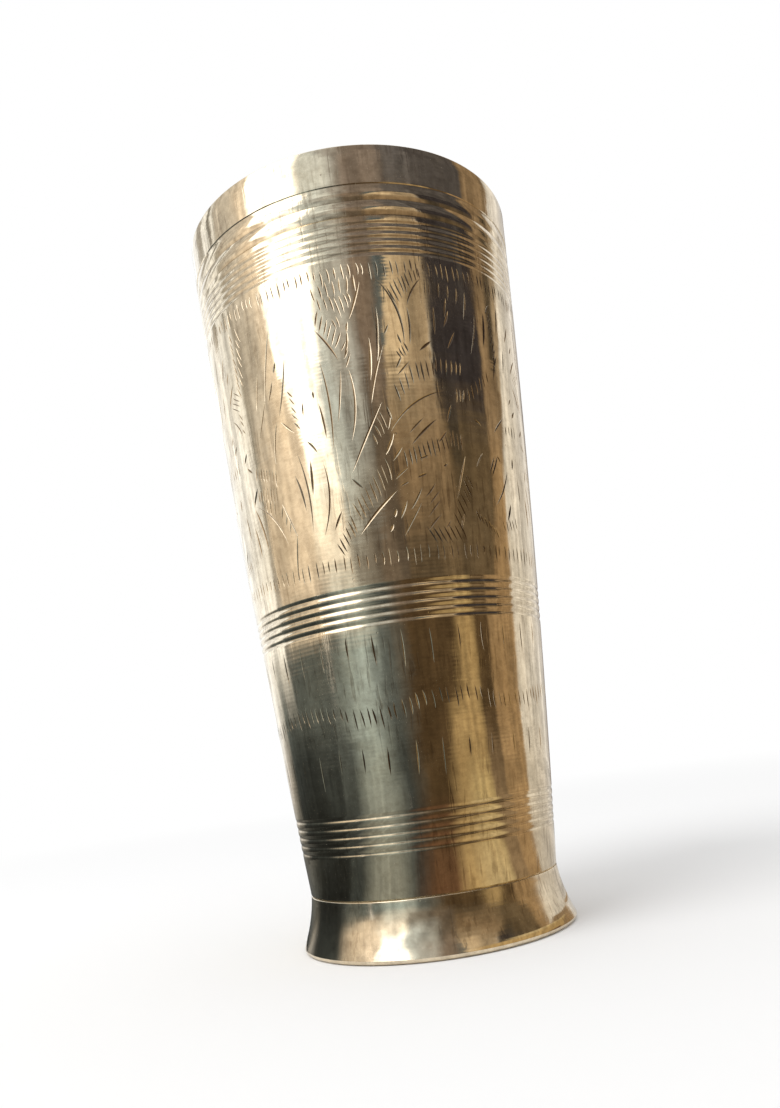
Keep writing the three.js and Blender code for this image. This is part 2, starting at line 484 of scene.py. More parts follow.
class Skin:
    """Gathers faces with a normal at every corner, and joins corners that lie in one place."""

    def __init__(self):
        self.corners = []
        self.recess = []
        self.index = {}
        self.faces = []
        self.normals = []
        self.finishes = []

    def corner(self, point, recess=0.0):
        """Number of the corner at a point, new or found."""
        key = tuple(round(value / WELD) for value in point)
        if key not in self.index:
            self.index[key] = len(self.corners)
            self.corners.append(point)
            self.recess.append(recess)
        return self.index[key]

    def face(self, corners, normals, finish=OUTSIDE):
        """Adds a face, without the sides that shrink to a point on the axis."""
        kept = dict(zip(corners, normals))
        if len(kept) > 2:
            self.faces.append(list(kept))
            self.normals.extend(kept.values())
            self.finishes.append(finish)

    def build(self, name, *materials):
        """Makes the mesh object."""
        mesh = bpy.data.meshes.new(name)
        mesh.from_pydata(self.corners, [], self.faces)
        for material in materials:
            mesh.materials.append(material)
        mesh.polygons.foreach_set("material_index", self.finishes)
        mesh.polygons.foreach_set("use_smooth", [True] * len(self.faces))
        recess = mesh.attributes.new("recess", "FLOAT", "POINT")
        recess.data.foreach_set("value", self.recess)
        mesh.normals_split_custom_set(self.normals)
        if mesh.validate():
            raise RuntimeError(f"{name} has a face that can't be used")
        piece = bpy.data.objects.new(name, mesh)
        bpy.context.scene.collection.objects.link(piece)
        return piece


def smooth_leans(rings, closed):
    """For each span between rings, the outward lean at its start and its end as (radius, height)."""
    count = len(rings)
    spans = count if closed else count - 1
    leans = []
    for i in range(spans):
        low, high = rings[i], rings[(i + 1) % count]
        leans.append(Vector((high.height - low.height, low.radius - high.radius)).normalized())

    def joined(first, second):
        if leans[first].angle(leans[second]) > CREASE:
            return None
        return (leans[first] + leans[second]).normalized()

    ends = []
    for i in range(spans):
        start = joined(i - 1, i) if closed or i > 0 else None
        end = joined(i, (i + 1) % spans) if closed or i < spans - 1 else None
        ends.append((start or leans[i], end or leans[i]))
    return ends


def turn(skin, rings, closed=True, finish_of=None, left_out=None):
    """Turns rings about the axis. A span has its first ring's finish, and left_out says which stay open."""
    count = len(rings)
    turns = [turned_to(column) for column in range(COLUMNS)]
    numbers = []
    for ring in rings:
        numbers.append([skin.corner(around(ring.radius, ring.height, t), ring.soil) for t in turns])
    for i, (start, end) in enumerate(smooth_leans(rings, closed)):
        low, high = rings[i], rings[(i + 1) % count]
        if left_out and left_out(low, high):
            continue
        finish = finish_of(low) if finish_of else OUTSIDE
        starts = [around(start.x, start.y, t) for t in turns]
        ends = [around(end.x, end.y, t) for t in turns]
        above = numbers[(i + 1) % count]
        for a in range(COLUMNS):
            b = (a + 1) % COLUMNS
            corners = (numbers[i][a], numbers[i][b], above[b], above[a])
            skin.face(corners, (starts[a], starts[b], ends[b], ends[a]), finish)


def arc(radius, height, rounding, first, last):
    """Rings of a rounded corner about a centre, between two angles in degrees."""
    rings = []
    for i in range(CORNER_STEPS + 1):
        bend = math.radians(first + (last - first) * i / CORNER_STEPS)
        rings.append(Ring(radius + rounding * math.cos(bend), height + rounding * math.sin(bend)))
    return rings


def bezier(first, bend, last):
    """Rings of a curve that is drawn towards a bend."""
    rings = []
    for i in range(CURVE_STEPS + 1):
        t = i / CURVE_STEPS
        weights = ((1 - t) ** 2, 2 * t * (1 - t), t * t)
        radius = sum(w * p[0] for w, p in zip(weights, (first, bend, last)))
        height = sum(w * p[1] for w, p in zip(weights, (first, bend, last)))
        rings.append(Ring(radius, height))
    return rings


class WallShape:
    """The plain wall: a straight taper from neck to rim plus a parabola's swell."""

    def __init__(self, sizes):
        self.bottom = WALL_LOW.z
        self.top = WALL_HIGH.z
        self.neck = sizes.neck_radius
        self.rim = sizes.rim_radius
        self.bulge = sizes.bulge
        self.thickness = sizes.thickness

    def part(self, height):
        """How far up the wall a height is, from 0 to 1."""
        return (height - self.bottom) / (self.top - self.bottom)

    def radius(self, height):
        """Outside of the plain wall."""
        t = self.part(height)
        return self.neck + (self.rim - self.neck) * t + self.bulge * 4 * t * (1 - t)

    def slope(self, height):
        """How fast the wall widens."""
        t = self.part(height)
        return (self.rim - self.neck + self.bulge * 4 * (1 - 2 * t)) / (self.top - self.bottom)

    def inside(self, height):
        """Inside of the wall."""
        return self.radius(height) - self.thickness

    def normal(self, height, turned):
        """Which way the plain wall faces."""
        lean = Vector((1, -self.slope(height))).normalized()
        return around(lean.x, lean.y, turned)

    def plain(self, low, high, step):
        """Rings of the plain outside between two heights, the upper end left out."""
        count = max(1, math.ceil((high - low) / step))
        heights = [low + (high - low) * i / count for i in range(count)]
        return [Ring(self.radius(height), height) for height in heights]


class BandPlan:
    """Heights of the bands and panels, from the bottom up and from the rim down."""

    def __init__(self, wall, bands):
        group = bands.groove_count * bands.groove_pitch
        self.lower = wall.bottom + bands.neck_band
        self.lower_top = self.lower + group
        self.middle = self.lower_top + bands.lower_panel
        self.middle_top = self.middle + group
        self.line = wall.top - bands.rim_band
        self.line_foot = self.line - bands.line_width / 2
        self.line_top = self.line + bands.line_width / 2
        self.rolls = self.line_foot - bands.roll_count * bands.roll_height
        self.bead = self.rolls - bands.bead_height
        self.upper = self.bead - group

    def panels(self):
        """Lower and upper end of the two chased panels."""
        return ((self.lower_top, self.middle), (self.middle_top, self.upper))

    def in_panel(self, low, high):
        """True for a span of the outside that lies in a chased panel."""
        middle = (low.height + high.height) / 2
        return any(bottom < middle < top for bottom, top in self.panels())


# Brown in the bottom of a groove and of a valley, and how fast it ends up the side of a moulding
GROOVE_SOIL = 0.22
ROLL_SOIL = 0.3
SOIL_FALL = 3


def groove_rings(wall, bands, bottom, depth, closeness):
    """A group of hollow grooves: lips on the wall and valleys cut into it."""
    rings = []
    for i in range(bands.groove_count * GROOVE_STEPS):
        hollow = abs(math.sin(math.pi * i / GROOVE_STEPS)) ** closeness
        height = bottom + bands.groove_pitch * i / GROOVE_STEPS
        rings.append(Ring(wall.radius(height) - depth * hollow, height, GROOVE_SOIL * hollow))
    return rings


def roll_rings(wall, bands, bottom, upper_rise):
    """One rounded moulding, from the sharp valley under it: its crest lies on the wall."""
    rings = []
    for i in range(ROLL_STEPS):
        crest = math.sin(math.pi * i / ROLL_STEPS)
        rise = bands.roll_rise if 2 * i < ROLL_STEPS else upper_rise
        height = bottom + bands.roll_height * i / ROLL_STEPS
        soil = ROLL_SOIL * max(0, 1 - SOIL_FALL * crest)
        rings.append(Ring(wall.radius(height) - rise * (1 - crest), height, soil))
    return rings


def outside_rings(wall, bands, plan, rounding):
    """The outside of the wall, from its lower end to the middle of the rim."""
    rings = wall.plain(wall.bottom, plan.lower, PLAIN_STEP)
    rings += groove_rings(wall, bands, plan.lower, bands.lower_depth, bands.lower_closeness)
    rings += wall.plain(plan.lower_top, plan.middle, PLAIN_STEP)
    rings += groove_rings(wall, bands, plan.middle, bands.middle_depth, bands.middle_closeness)
    rings += wall.plain(plan.middle_top, plan.upper, PLAIN_STEP)
    rings += groove_rings(wall, bands, plan.upper, bands.upper_depth, bands.upper_closeness)
    rings += wall.plain(plan.bead, plan.rolls, bands.bead_height / BEAD_STEPS)
    for i in range(bands.roll_count):
        upper_rise = bands.roll_rise if i < bands.roll_count - 1 else bands.line_depth
        rings += roll_rings(wall, bands, plan.rolls + i * bands.roll_height, upper_rise)
    rings.append(Ring(wall.radius(plan.line) - bands.line_depth, plan.line, ROLL_SOIL))
    rings += wall.plain(plan.line_top, wall.top - rounding, PLAIN_STEP)
    return rings + arc(wall.rim - rounding, wall.top - rounding, rounding, 0, 90)


def inside_rings(wall, rounding, seat):
    """The inside of the wall, from the rim down to the ledge and the bore for the foot's collar."""
    ledge = FLOOR_LOW.z
    count = math.ceil((wall.top - ledge) / INSIDE_STEP)
    rings = arc(wall.inside(wall.top) + rounding, wall.top - rounding, rounding, 90, 180)
    for i in range(1, count + 1):
        height = wall.top - rounding + (ledge - wall.top + rounding) * i / count
        rings.append(Ring(wall.inside(height), height))
    return rings + [Ring(seat, ledge), Ring(seat, wall.bottom)]


# Chased strokes, in millimetres on the unrolled wall

# Fewest steps along a cut, its longest step, and how blunt its tips are
CUT_STATIONS = 4
STATION_STEP = 1.6
BLUNTNESS = 0.7

# Room that the plain points keep to a cut, and that cuts keep to a panel's ends and to its seam at the back
CLEAR_OF_CUT = 0.3
CLEAR_OF_EDGE = 0.45
CLEAR_OF_SEAM = 1.0

# Depth under which a point is plain wall, depth that is full of brown, and reach that makes two points one
LIP = 0.006
FULL_DEPTH = 0.085
MERGE = 1e-4

# Cells of the grid that finds the cuts near a point, and what a cut reaches past its spine
CELL = 3.0
CELL_MARGIN = 1.0

# How far a cut wavers: its start and its end, each in degrees round and mm up, its bow in mm, and its width
Waver = namedtuple("Waver", "turned up last_turned last_up bow width")
LONG_WAVER = Waver(0.3, 0.4, 0.3, 0.6, 0.2, 0.3)
TICK_WAVER = Waver(0.3, 0.5, 0.4, 0.7, 0.25, 0.35)

# How far the cuts of a border stray: in degrees round, in mm up and in length
BORDER_TURN = 0.9
BORDER_RISE = 0.6
BORDER_STRETCH = 0.5

# One repeat of the leaf pattern. A cut has its start and its end, each in degrees round and mm up, and its
# bow in mm.
BOLD_CUTS = (
    # Grass in the middle
    (2.5, 124.9, 1.4, 114.9, 0.2), (6.0, 131.4, 4.4, 119.0, 0.2), (18.4, 120.9, 23.3, 123.3, 0.0),
    (3.0, 98.5, 6.7, 103.0, 0.0), (5.2, 97.0, 8.7, 100.0, 0.0), (12.0, 100.4, 21.9, 105.9, 0.2),
    (12.6, 93.4, 16.3, 94.3, 0.0), (22.1, 95.4, 23.9, 96.2, 0.0), (-9.0, 82.8, 5.2, 91.2, 0.3),
    (8.1, 88.5, 5.2, 84.8, 0.0), (4.3, 87.2, 3.3, 85.4, 0.0), (2.6, 83.9, 1.3, 82.3, 0.0),
    # Grass at the left
    (-30.0, 124.7, -31.6, 122.2, 0.0), (-32.5, 120.7, -36.1, 115.9, 0.1),
    (-29.5, 98.6, -27.3, 90.0, 0.3), (-22.7, 100.7, -23.6, 93.3, 0.1), (-14.1, 88.6, -17.6, 85.0, 0.0),
    (-52.4, 95.2, -48.0, 85.0, 0.5), (-54.7, 91.7, -53.2, 84.3, 0.3), (-48.3, 99.6, -52.5, 95.5, -0.2),
    (-53.1, 104.9, -49.8, 103.5, 0.0), (-51.5, 108.3, -54.4, 106.0, 0.0),
    (-58.1, 111.6, -60.6, 109.9, 0.0), (-52.8, 125.5, -57.8, 121.0, -0.3),
    # Grass at the right
    (46.6, 133.0, 45.0, 124.6, 0.2), (56.6, 99.8, 55.9, 96.8, 0.0), (49.6, 84.4, 52.4, 88.6, 0.0),
)
LONG_CUTS = (
    # Feather: stem, tip and lower edge
    (1.9, 137.6, -2.9, 129.0, 0.0), (-3.7, 128.8, -4.3, 126.6, 0.0), (-4.2, 127.2, -6.2, 120.6, 0.4),
    (0.2, 139.4, 0.4, 135.4, -0.2), (-14.7, 128.4, -8.0, 120.7, 0.2),
    # Leaf: both edges and the blades at its foot
    (7.0, 137.8, 13.7, 122.3, 1.6), (22.0, 137.9, 16.2, 131.6, -0.45), (16.1, 131.0, 15.5, 122.0, 0.3),
    (11.8, 124.9, 13.0, 122.3, 0.0), (9.3, 127.4, 7.8, 124.8, 0.0), (12.1, 119.7, 10.0, 117.0, 0.0),
    (14.9, 119.1, 10.0, 115.8, 0.0),
    # Grass in the middle
    (-14.4, 121.5, -14.0, 101.5, 0.85), (-7.9, 118.3, -11.0, 107.3, 0.1),
    (-5.4, 118.5, -7.5, 102.7, 1.0), (-16.7, 112.2, -15.7, 104.3, 0.1), (7.0, 122.6, 0.7, 109.9, -0.3),
    (5.5, 103.6, 25.8, 112.4, 1.7), (11.6, 102.8, 17.6, 106.4, 0.0), (21.4, 100.6, 25.0, 103.4, 0.0),
    (4.1, 110.1, -8.7, 95.9, 0.0), (5.4, 108.9, 6.5, 106.1, 0.0), (6.2, 107.6, 5.0, 103.8, 0.0),
    (5.2, 93.2, 10.0, 95.7, 0.1), (-9.2, 94.8, -5.8, 92.2, 0.0), (14.0, 97.4, 17.6, 98.3, 0.0),
    (6.6, 91.7, 9.5, 92.7, 0.0), (13.7, 91.0, 9.2, 86.4, 0.0), (13.2, 88.2, 5.9, 81.6, 0.0),
    (18.6, 91.9, 14.6, 88.9, 0.2), (19.9, 90.5, 15.5, 87.2, 0.0), (19.9, 88.3, 14.7, 84.7, 0.0),
    (14.0, 81.9, 19.8, 85.6, 0.2), (22.7, 83.9, 20.8, 82.2, 0.0), (26.0, 88.4, 31.2, 98.0, 0.0),
    (25.6, 105.0, 27.8, 109.2, 0.0), (26.6, 82.0, 28.8, 85.8, 0.0),
    # Grass at the left
    (-30.9, 132.4, -37.4, 116.3, -0.15), (-26.8, 124.3, -32.1, 111.9, 0.45),
    (-38.5, 123.9, -41.7, 115.4, 0.0), (-37.0, 117.4, -43.0, 109.2, 0.1),
    (-33.4, 111.3, -36.9, 102.5, -0.25), (-37.4, 101.2, -38.1, 97.2, 0.0),
    (-31.7, 110.9, -26.9, 107.7, 0.0), (-27.3, 103.0, -25.8, 85.8, 0.95),
    (-23.1, 105.0, -19.6, 101.5, 0.2), (-18.3, 99.4, -21.7, 84.2, 1.4),
    (-22.3, 113.8, -22.8, 110.4, 0.0), (-18.1, 115.2, -18.2, 113.4, 0.0),
    (-51.0, 95.7, -37.2, 84.5, 1.5), (-37.0, 93.7, -32.5, 85.6, 0.2), (-32.4, 86.2, -35.3, 76.2, -0.3),
    (-58.3, 118.0, -51.8, 112.5, 0.6), (-60.2, 114.4, -62.0, 112.6, 0.0),
    (-54.9, 128.8, -57.0, 126.2, 0.0), (-57.2, 133.2, -60.8, 128.4, 0.2),
    # Grass at the right
    (30.2, 134.0, 28.9, 129.4, 0.0), (30.6, 131.0, 28.2, 127.2, 0.1), (25.3, 131.5, 24.6, 125.0, 0.1),
    (32.2, 126.2, 28.9, 121.8, 0.0), (38.4, 136.4, 36.6, 129.4, 0.3), (41.6, 131.2, 38.4, 121.6, 0.5),
    (50.6, 125.2, 48.6, 116.6, 0.3), (54.8, 136.2, 53.2, 128.4, 0.3), (57.2, 126.0, 55.6, 119.4, 0.2),
    (36.3, 106.7, 39.9, 105.0, 0.0), (43.7, 87.7, 52.0, 96.0, -0.6), (47.0, 99.3, 42.6, 93.8, 0.0),
    (45.0, 99.0, 41.4, 94.8, 0.0), (46.0, 104.4, 52.4, 108.8, 0.2), (46.6, 99.0, 48.2, 97.4, 0.0),
    (59.2, 95.2, 60.0, 89.0, 0.3), (35.6, 95.6, 39.2, 99.4, 0.2),
)

# Rows of short cuts: the start and end of the first cut, those of the last, and how many there are
CUT_ROWS = (
    # Feather: under the border, then the barbs to the right and to the left of the stem
    (-13.8, 138.2, -12.8, 134.4, -2.0, 139.2, -2.3, 135.2, 6),
    (-12.4, 135.4, -11.4, 132.0, -8.2, 135.4, -7.2, 131.4, 3),
    (-6.8, 134.8, -5.2, 129.8, -2.4, 135.6, -1.6, 132.8, 4),
    (-12.4, 132.6, -14.3, 129.0, -5.8, 127.2, -8.6, 123.0, 6),
    (-4.9, 124.8, -6.6, 122.2, -4.0, 121.8, -5.8, 118.4, 3),
    (-8.6, 129.9, -7.2, 127.4, -7.0, 130.4, -6.0, 127.8, 2),
    # Leaf
    (9.8, 136.2, 12.8, 131.6, 16.6, 139.4, 18.0, 135.0, 6),
    (18.0, 139.8, 18.9, 136.2, 21.4, 140.2, 21.7, 137.8, 3),
    (10.6, 121.4, 12.2, 119.0, 13.4, 123.2, 14.8, 120.4, 4),
    # Banks in the middle
    (8.7, 114.0, 10.1, 109.8, 14.4, 118.2, 15.3, 113.4, 4),
    (16.6, 118.6, 17.3, 114.2, 22.2, 119.2, 22.6, 114.4, 4),
    (9.2, 99.6, 9.7, 95.6, 24.0, 102.8, 25.2, 98.6, 10),
    (25.8, 103.8, 26.2, 99.6, 30.2, 102.8, 30.5, 98.8, 4),
    (-0.3, 103.8, 1.0, 101.0, 2.6, 108.4, 4.7, 104.4, 4),
    # Hills over the lower border
    (-17.6, 82.2, -15.4, 79.0, -11.6, 87.2, -9.8, 83.4, 6),
    (-10.2, 89.8, -7.4, 85.2, 2.6, 97.8, 4.1, 93.2, 9),
    (13.8, 82.8, 17.0, 79.0, 25.6, 83.8, 28.6, 79.2, 7),
    (24.2, 85.8, 27.0, 81.6, 30.2, 94.8, 33.8, 90.0, 7),
    (33.4, 86.6, 35.0, 83.8, 42.0, 82.8, 43.6, 80.2, 6),
    (46.4, 84.6, 47.4, 81.8, 54.6, 85.6, 55.6, 82.8, 5),
    # Ferns at the left
    (-46.4, 137.0, -44.2, 133.2, -48.2, 126.0, -46.6, 123.0, 6),
    (-50.6, 137.4, -48.8, 134.2, -50.4, 123.8, -48.6, 120.6, 8),
    (-57.2, 121.0, -50.6, 117.8, -53.8, 123.7, -49.6, 121.2, 4),
    (-52.6, 118.0, -50.2, 115.6, -51.6, 114.4, -49.8, 112.4, 3),
    (-27.4, 117.3, -25.3, 114.9, -26.6, 109.9, -24.4, 107.9, 5),
    (-47.2, 103.8, -48.2, 101.0, -38.8, 101.6, -39.8, 98.8, 7),
    (-48.0, 99.2, -48.7, 96.0, -38.4, 98.4, -39.4, 94.0, 8),
    (-44.6, 96.0, -45.2, 93.0, -40.4, 94.8, -41.3, 91.0, 3),
    (-37.1, 93.0, -38.5, 90.4, -34.2, 89.2, -35.2, 86.4, 3),
    # Ferns at the right
    (24.0, 119.6, 23.7, 116.0, 33.4, 119.2, 32.8, 115.8, 6),
    (24.6, 137.2, 24.3, 133.6, 35.0, 136.8, 34.2, 133.0, 4),
    (30.6, 113.2, 30.2, 110.0, 33.4, 113.0, 32.8, 110.0, 3),
    (35.0, 113.6, 35.6, 110.2, 45.0, 119.0, 45.8, 115.6, 6),
    (53.6, 107.0, 53.8, 104.8, 60.6, 107.9, 60.3, 104.6, 4),
    (50.0, 135.8, 48.0, 132.6, 52.2, 123.4, 50.2, 120.2, 8),
)

# Borders that run all round: pitch in degrees, mm at the top of a cut, and the run of one cut
UPPER_BORDERS = ((2.2, 141.9, (0.4, -3.4)), (2.7, 79.2, (0.1, -3.4)))
LOWER_BORDERS = ((10.2, 62.8, (0.2, -6.4)), (2.75, 49.4, (0.8, -3.7)), (10.2, 40.6, (-0.2, -6.2)))
WAVE_HEIGHT = 1.2
WAVES = 6


def cell_span(values):
    """Cells of the search grid from the lowest to the highest of some values."""
    first = math.floor((min(values) - CELL_MARGIN) / CELL)
    last = math.floor((max(values) + CELL_MARGIN) / CELL)
    return range(first, last + 1)


class Cut:
    """One stroke of the chisel: pointed at both ends and widest in the middle."""

    def __init__(self, start, end, bow, width):
        run = end - start
        side = Vector((-run.y, run.x)).normalized()
        count = max(CUT_STATIONS, math.ceil(run.length / STATION_STEP))
        self.spine = []
        self.halves = []
        for i in range(count + 1):
            t = i / count
            self.spine.append(start + run * t + side * (bow * 4 * t * (1 - t)))
            self.halves.append(width / 2 * math.sin(math.pi * t) ** BLUNTNESS if 0 < i < count else 0.0)

    def rails(self):
        """Points to the left and right of the spine, without its two tips."""
        left, right = [], []
        for i in range(1, len(self.spine) - 1):
            run = (self.spine[i + 1] - self.spine[i - 1]).normalized()
            side = Vector((-run.y, run.x)) * self.halves[i]
            left.append(self.spine[i] + side)
            right.append(self.spine[i] - side)
        return left, right

    def inside(self, point):
        """How far a point is inside the cut's outline, below 0 outside it."""
        best = -math.inf
        for i in range(len(self.spine) - 1):
            run = self.spine[i + 1] - self.spine[i]
            t = min(1.0, max(0.0, (point - self.spine[i]).dot(run) / run.length_squared))
            half = self.halves[i] + (self.halves[i + 1] - self.halves[i]) * t
            best = max(best, half - (point - self.spine[i] - run * t).length)
        return best

    def cells(self):
        """Cells of the search grid that the cut reaches."""
        across = cell_span([point.x for point in self.spine])
        up = cell_span([point.y for point in self.spine])
        return [(x, y) for x in across for y in up]


class Chaser:
    """Lays out the cuts of one panel with an uneven touch."""

    def __init__(self, wall, sizes, low, high):
        self.wall = wall
        self.sizes = sizes
        self.low = low / MM
        self.high = high / MM
        self.reference = wall.radius((low + high) / 2) / MM
        self.chance = random.Random(sizes.seed + round(self.low))
        self.cuts = []

    def drift(self, reach):
        """A little to one side or the other."""
        return self.chance.uniform(-reach, reach) * self.sizes.drift

    def spot(self, turned, up):
        """A point of the unrolled panel, from degrees round and mm up."""
        return Vector((math.radians(turned) * self.reference, up))

    def cut(self, first, last, bow, width):
        """Adds one cut between two places, each degrees round and mm up, if it stays on the panel."""
        start, end = self.spot(*first), self.spot(*last)
        room = CLEAR_OF_EDGE + abs(bow)
        half_round = math.pi * self.reference - CLEAR_OF_SEAM

        def on_panel(spot):
            return self.low + room < spot.y < self.high - room and abs(spot.x) < half_round

        if on_panel(start) and on_panel(end):
            self.cuts.append(Cut(start, end, bow, width / MM))

    def uneven_cut(self, first, last, bow, width, waver):
        """A cut whose ends, bow and width waver."""
        start = (first[0] + self.drift(waver.turned), first[1] + self.drift(waver.up))
        end = (last[0] + self.drift(waver.last_turned), last[1] + self.drift(waver.last_up))
        self.cut(start, end, bow + self.drift(waver.bow), width * (1 + self.drift(waver.width)))

    def long_cuts(self, cuts, offset, width):
        """Cuts with a place of their own."""
        for turned, up, last_turned, last_up, bow in cuts:
            first, last = (offset + turned, up), (offset + last_turned, last_up)
            self.uneven_cut(first, last, bow, width, LONG_WAVER)

    def tick(self, first, last):
        """A short cut."""
        self.uneven_cut(first, last, 0.0, self.sizes.tick_width, TICK_WAVER)

    def rows(self, rows, offset):
        """Rows whose cuts follow from the first and the last one."""
        for row in rows:
            first, last, count = Vector(row[:4]), Vector(row[4:8]), row[8]
            for i in range(count):
                turned, up, last_turned, last_up = first.lerp(last, i / (count - 1))
                self.tick((offset + turned, up), (offset + last_turned, last_up))

    def border(self, pitch, up, run, wave=0.0):
        """Short cuts all round."""
        count = round(360 / pitch)
        for i in range(count):
            turned = 360 * (i + 0.5) / count - 180 + self.drift(BORDER_TURN)
            start = up + wave * math.sin(math.radians(turned) * WAVES) + self.drift(BORDER_RISE)
            stretch = 1 + self.drift(BORDER_STRETCH)
            self.tick((turned, start), (turned + run[0] * stretch, start + run[1] * stretch))


def upper_cuts(chaser):
    """The leaf pattern of the upper panel, between a border above it and one below."""
    sizes = chaser.sizes
    for border in UPPER_BORDERS:
        chaser.border(*border)
    for i in range(sizes.repeats):
        offset = 360 * i / sizes.repeats
        offset -= 360 if offset > 180 else 0
        chaser.long_cuts(LONG_CUTS, offset, sizes.blade_width)
        chaser.long_cuts(BOLD_CUTS, offset, sizes.broad_width)
        chaser.rows(CUT_ROWS, offset)


def lower_cuts(chaser):
    """Three loose borders of upright cuts on the lower panel, the middle one waved."""
    long_top, waved, long_low = LOWER_BORDERS
    chaser.border(*long_top)
    chaser.border(*waved, wave=WAVE_HEIGHT)
    chaser.border(*long_low)


def panel_grid(chaser, near):
    """Points of a plain panel, both ends and both sides whole, and none close to a cut inside."""
    points, columns = [], []
    low, high = chaser.low, chaser.high
    rows = math.ceil((high - low) / (PLAIN_STEP / MM))
    for row in range(rows + 1):
        up = low + (high - low) * row / rows
        for column in range(COLUMNS + 1):
            point = Vector((turned_to(column) * chaser.reference, up))
            on_edge = row in (0, rows) or column in (0, COLUMNS)
            if on_edge or not near(point):
                points.append(point)
                columns.append(column)
    return points, columns


def cut_outline(cut, points, edges):
    """Adds a cut's tips, spine and rails as points and fixed edges."""
    left, right = cut.rails()
    tips = (cut.spine[0], cut.spine[-1])
    first = len(points)
    points.extend(tips)
    for line in (cut.spine[1:-1], left, right):
        start = len(points)
        points.extend(line)
        chain = [first, *range(start, len(points)), first + 1]
        edges.extend(zip(chain, chain[1:]))


def chased_panel(skin, chaser):
    """Fills one panel: plain wall with every cut sunk into it as a sharp valley."""
    cells = defaultdict(list)
    for cut in chaser.cuts:
        for cell in cut.cells():
            cells[cell].append(cut)

    def sunk(point):
        found = cells.get((math.floor(point.x / CELL), math.floor(point.y / CELL)), ())
        return max((cut.inside(point) for cut in found), default=-math.inf)

    points, columns = panel_grid(chaser, lambda point: sunk(point) > -CLEAR_OF_CUT)
    edges = []
    for cut in chaser.cuts:
        cut_outline(cut, points, edges)
    made = delaunay_2d_cdt(points, edges, [], 0, MERGE)
    flat, triangles, origins = made[0], made[2], made[3]

    numbers, spots, depths, normals = [], [], [], []
    for point, origin in zip(flat, origins):
        turned = point.x / chaser.reference
        up = point.y
        if origin and origin[0] < len(columns):
            turned = turned_to(columns[origin[0]])
            up = points[origin[0]].y
        depth = max(0.0, sunk(point)) * chaser.sizes.steepness
        depth = depth if depth > LIP else 0.0
        height = min(max(up, chaser.low), chaser.high) * MM
        spot = around(chaser.wall.radius(height) - depth * MM, height, turned)
        numbers.append(skin.corner(spot, min(1.0, depth / FULL_DEPTH)))
        spots.append(spot)
        depths.append(depth)
        normals.append(chaser.wall.normal(height, turned))
    for a, b, c in triangles:
        shading = (normals[a], normals[b], normals[c])
        if depths[a] or depths[b] or depths[c]:
            side = (spots[b] - spots[a]).cross(spots[c] - spots[a]).normalized()
            shading = (side, side, side)
        skin.face((numbers[a], numbers[b], numbers[c]), shading)


# Pieces


def settle(piece, node):
    """Puts a finished piece in the place of its construction node."""
    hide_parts(node)
    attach(piece, BODY)


def seat_radius(sizes):
    """Bore in the wall's lower end, which leaves the ledge that carries the floor."""
    return FLOOR_HIGH.x - sizes.ledge_bearing


class TUMBLER_OT_wall(bpy.types.Operator):
    """Make the turned wall with its ring bands and chased panels"""

    bl_idname = "tumbler.make_wall"
    bl_label = "Wall"

    def execute(self, context):
        sizes, bands = context.scene.tumbler_wall, context.scene.tumbler_bands
        wall = WallShape(sizes)
        plan = BandPlan(wall, bands)
        outside = outside_rings(wall, bands, plan, sizes.rim_rounding)
        inside = inside_rings(wall, sizes.rim_rounding, seat_radius(sizes))
        skin = Skin()

        def is_outside(ring):
            return ring.radius > wall.inside(ring.height) + sizes.thickness / 2

        def finish_of(ring):
            return OUTSIDE if is_outside(ring) else INSIDE

        def left_out(low, high):
            return is_outside(low) and plan.in_panel(low, high)

        turn(skin, outside + inside[1:], True, finish_of, left_out)
        for (low, high), lay_out in zip(plan.panels(), (lower_cuts, upper_cuts)):
            chaser = Chaser(wall, context.scene.tumbler_chasing, low, high)
            lay_out(chaser)
            chased_panel(skin, chaser)
        finish = context.scene.tumbler_finish
        polish = polished_bronze("outside_bronze", finish, finish.roughness)
        piece = skin.build("chased_wall", polish, satin_bronze_painted_glow(finish))
        settle(piece, "body_wall")
        return {"FINISHED"}


class TUMBLER_OT_foot(bpy.types.Operator):
    """Make the flared hollow foot with its collar"""

    bl_idname = "tumbler.make_foot"
    bl_label = "Foot"

    def execute(self, context):
        sizes = context.scene.tumbler_wall
        shoulder, edge = SEAM_LOW.z, sizes.foot_edge
        land_outer = FOOT_HIGH.x - edge
        land_inner = land_outer - sizes.foot_land
        collar = seat_radius(sizes) - sizes.joint_gap
        collar_inside = collar - sizes.spigot_thickness

        def flare(offset):
            top = (sizes.neck_radius - offset, shoulder)
            bend = (sizes.neck_radius + sizes.flare_start - offset, (shoulder + edge) / 2)
            return bezier(top, bend, (FOOT_HIGH.x - offset, edge))

        # The land, the outside and the shoulder
        rounding = sizes.shoulder_rounding
        rings = [Ring(land_inner, 0.0)]
        rings += arc(land_outer, edge, edge, -90, 0)[:-1]
        rings += [ring for ring in reversed(flare(0.0)) if ring.height < shoulder - rounding]
        rings += arc(sizes.neck_radius - rounding, shoulder - rounding, rounding, 0, 90)

        # The collar and the hollow
        rings += [Ring(collar, shoulder), Ring(collar, FOOT_HIGH.z), Ring(collar_inside, FOOT_HIGH.z)]
        rings.append(Ring(collar_inside, shoulder - sizes.spigot_thickness))
        rings += [ring for ring in flare(sizes.foot_thickness)[1:] if ring.radius < land_inner]
        skin = Skin()
        turn(skin, rings)
        finish = context.scene.tumbler_finish
        piece = skin.build("flared_foot", polished_bronze("foot_bronze", finish, finish.foot_roughness))
        settle(piece, "foot_ring")
        return {"FINISHED"}


